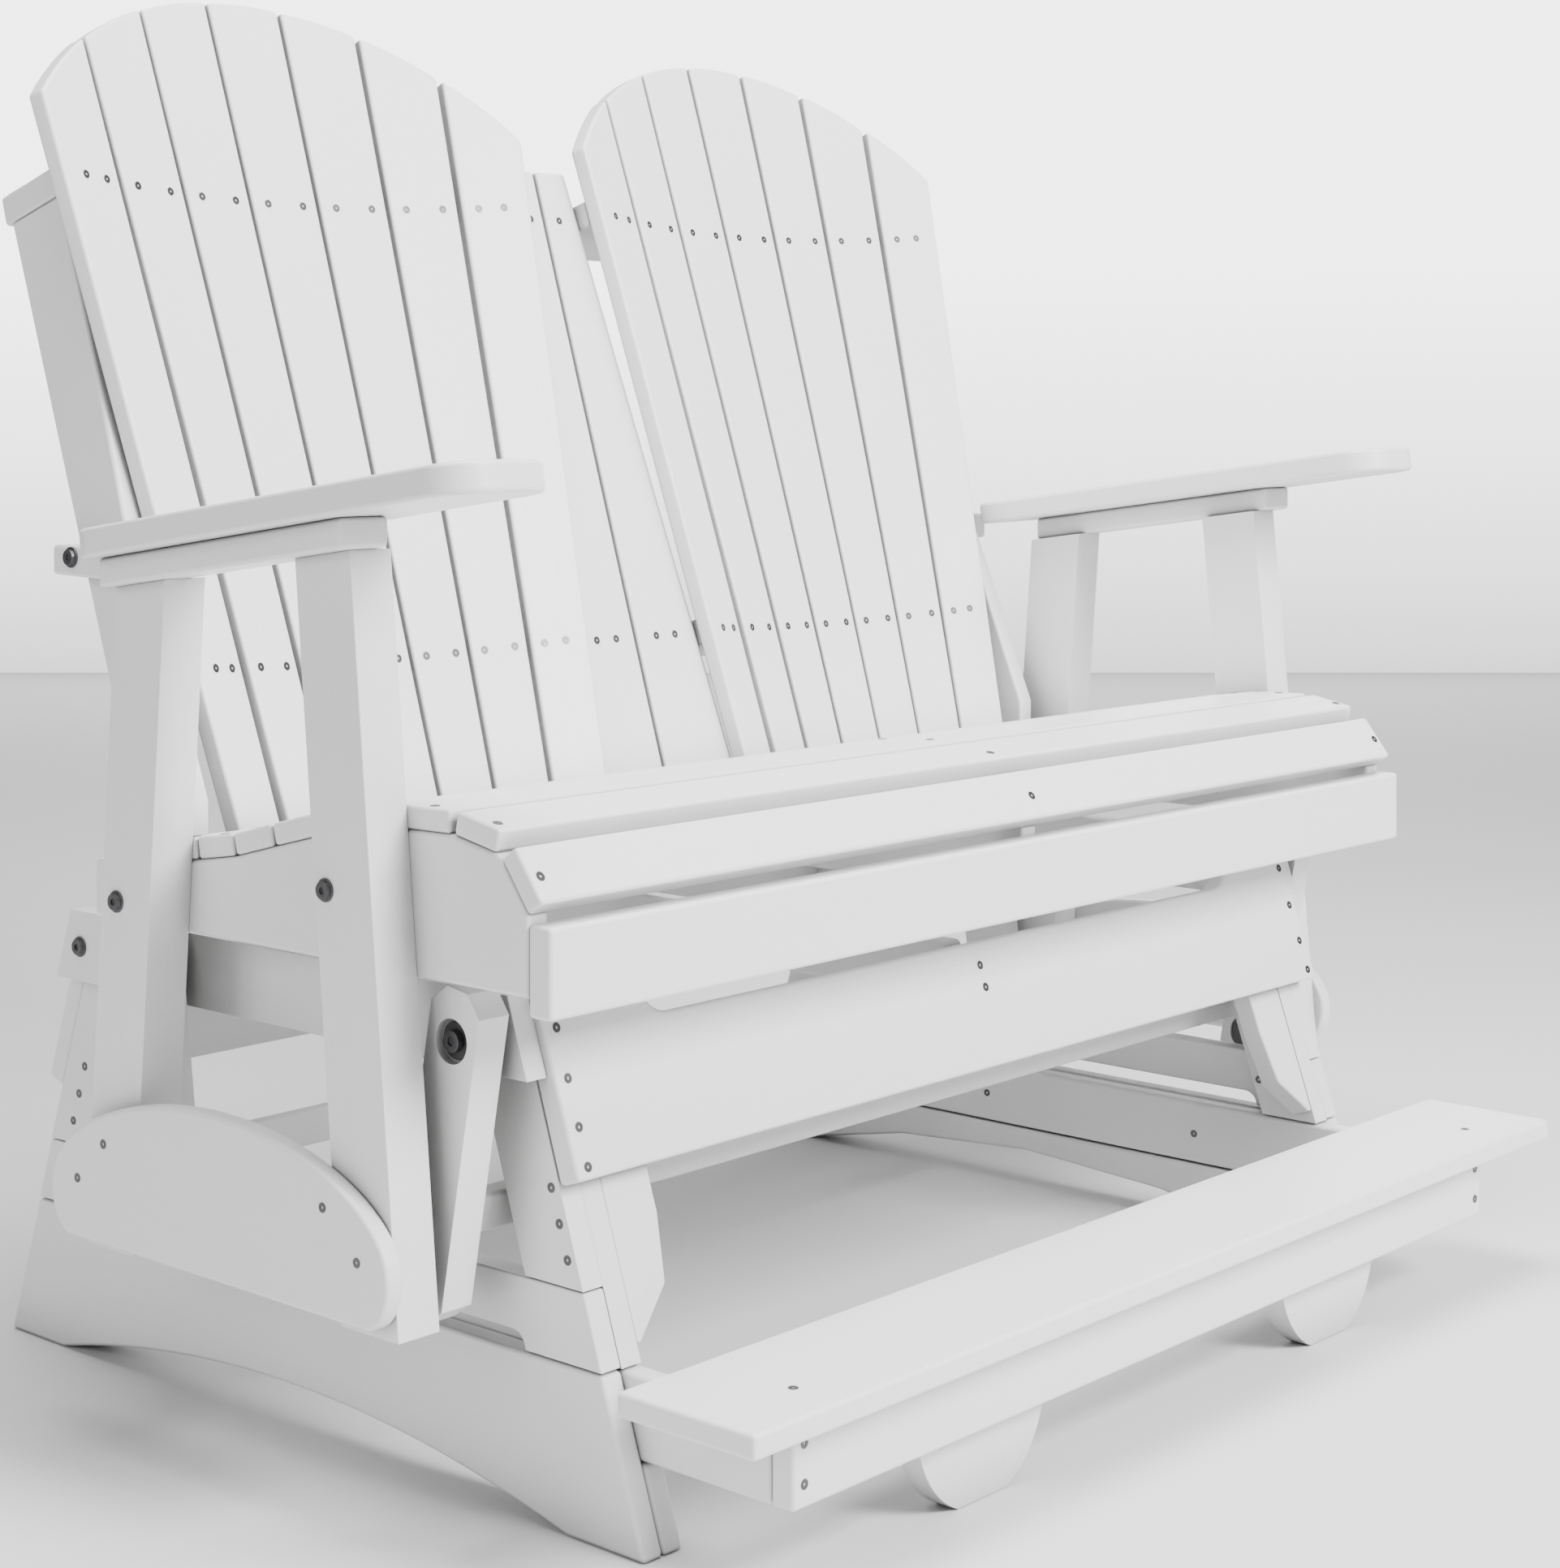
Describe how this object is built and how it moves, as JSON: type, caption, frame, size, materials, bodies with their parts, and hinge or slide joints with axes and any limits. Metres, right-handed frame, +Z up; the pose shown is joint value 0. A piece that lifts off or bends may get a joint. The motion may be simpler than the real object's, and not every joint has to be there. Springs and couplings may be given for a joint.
{
  "type": "glider swing",
  "caption": "Two-seat lawn glider with fan-shaped slatted backs, armrests and a footrest; the bench hangs from four links on a low base and glides fore and aft.",
  "frame": {"origin": "centre of the bounding box, on the floor", "axes": "+Z up, +X across the seat, -Y is the side the seat faces"},
  "size_m": [1.63, 1.117, 1.441],
  "materials": {
    "poly_lumber": "white plastic lumber, satin, with a fine drawn grain and rounded edges",
    "fastener_steel": "stainless screws, bolts and bushes",
    "dark_steel": "black coated steel brackets"
  },
  "bodies": {
    "base": {"base_bottom_board_left": "poly_lumber", "base_bottom_board_right": "poly_lumber", "base_mid_rail_left": "poly_lumber", "base_mid_rail_right": "poly_lumber", "base_legs_left": "poly_lumber", "base_legs_right": "poly_lumber", "base_inner_legs_left": "poly_lumber", "base_inner_legs_right": "poly_lumber", "base_inner_foot_left": "poly_lumber", "base_inner_foot_right": "poly_lumber", "base_top_rail_left": "poly_lumber", "base_top_rail_right": "poly_lumber", "front_apron": "poly_lumber", "rear_apron": "poly_lumber", "corner_gussets": "poly_lumber", "centre_stretcher": "poly_lumber", "footrest_arm_left": "poly_lumber", "footrest_arm_right": "poly_lumber", "footrest_board": "poly_lumber", "footrest_apron": "poly_lumber", "footrest_feet": "poly_lumber", "base_screws": "fastener_steel", "base_bolts": "fastener_steel", "top_pivot_bolts": "fastener_steel"},
    "front_swing": {"front_link_left": "poly_lumber", "front_link_right": "poly_lumber", "front_cross_bar": "poly_lumber", "front_bearings": "fastener_steel", "front_link_screws": "fastener_steel"},
    "seat": {"seat_rail_left": "poly_lumber", "seat_rail_right": "poly_lumber", "seat_rail_centre": "poly_lumber", "seat_front_board": "poly_lumber", "seat_rear_board": "poly_lumber", "seat_slats": "poly_lumber", "seat_edge_slat": "poly_lumber", "seat_nose_slat": "poly_lumber", "back_slats_left": "poly_lumber", "back_slats_right": "poly_lumber", "back_slats_centre": "poly_lumber", "back_upright_left": "poly_lumber", "back_upright_right": "poly_lumber", "back_top_rail": "poly_lumber", "back_lower_rail": "poly_lumber", "back_brackets": "dark_steel", "armrest_left": "poly_lumber", "armrest_right": "poly_lumber", "arm_cleats": "poly_lumber", "arm_rails": "poly_lumber", "arm_posts_left": "poly_lumber", "arm_posts_right": "poly_lumber", "side_panels": "poly_lumber", "seat_screws": "fastener_steel", "seat_bolts": "fastener_steel", "bottom_pivot_bolts": "fastener_steel"},
    "rear_swing": {"rear_link_left": "poly_lumber", "rear_link_right": "poly_lumber", "rear_cross_bar": "poly_lumber", "rear_bearings": "fastener_steel", "rear_link_screws": "fastener_steel"}
  },
  "joints": [
    {"name": "front_swing_pivot", "type": "hinge", "parent": "base", "child": "front_swing", "pos_m": [0, -0.2135, 0.435], "axis": [1, 0, 0], "range_deg": [-4, 16]},
    {"name": "seat_pitch", "type": "hinge", "parent": "front_swing", "child": "seat", "pos_m": [0, -0.1745, 0.221], "axis": [1, 0, 0], "range_deg": [-19, 5]},
    {"name": "rear_swing_pivot", "type": "hinge", "parent": "base", "child": "rear_swing", "pos_m": [0, 0.2395, 0.434], "axis": [1, 0, 0], "range_deg": [-3.6, 14.2]}
  ],
  "couplings": [
    {"joint": "seat_pitch", "follows": "front_swing_pivot", "ratio": -1.1792},
    {"joint": "rear_swing_pivot", "follows": "front_swing_pivot", "ratio": 0.877}
  ]
}
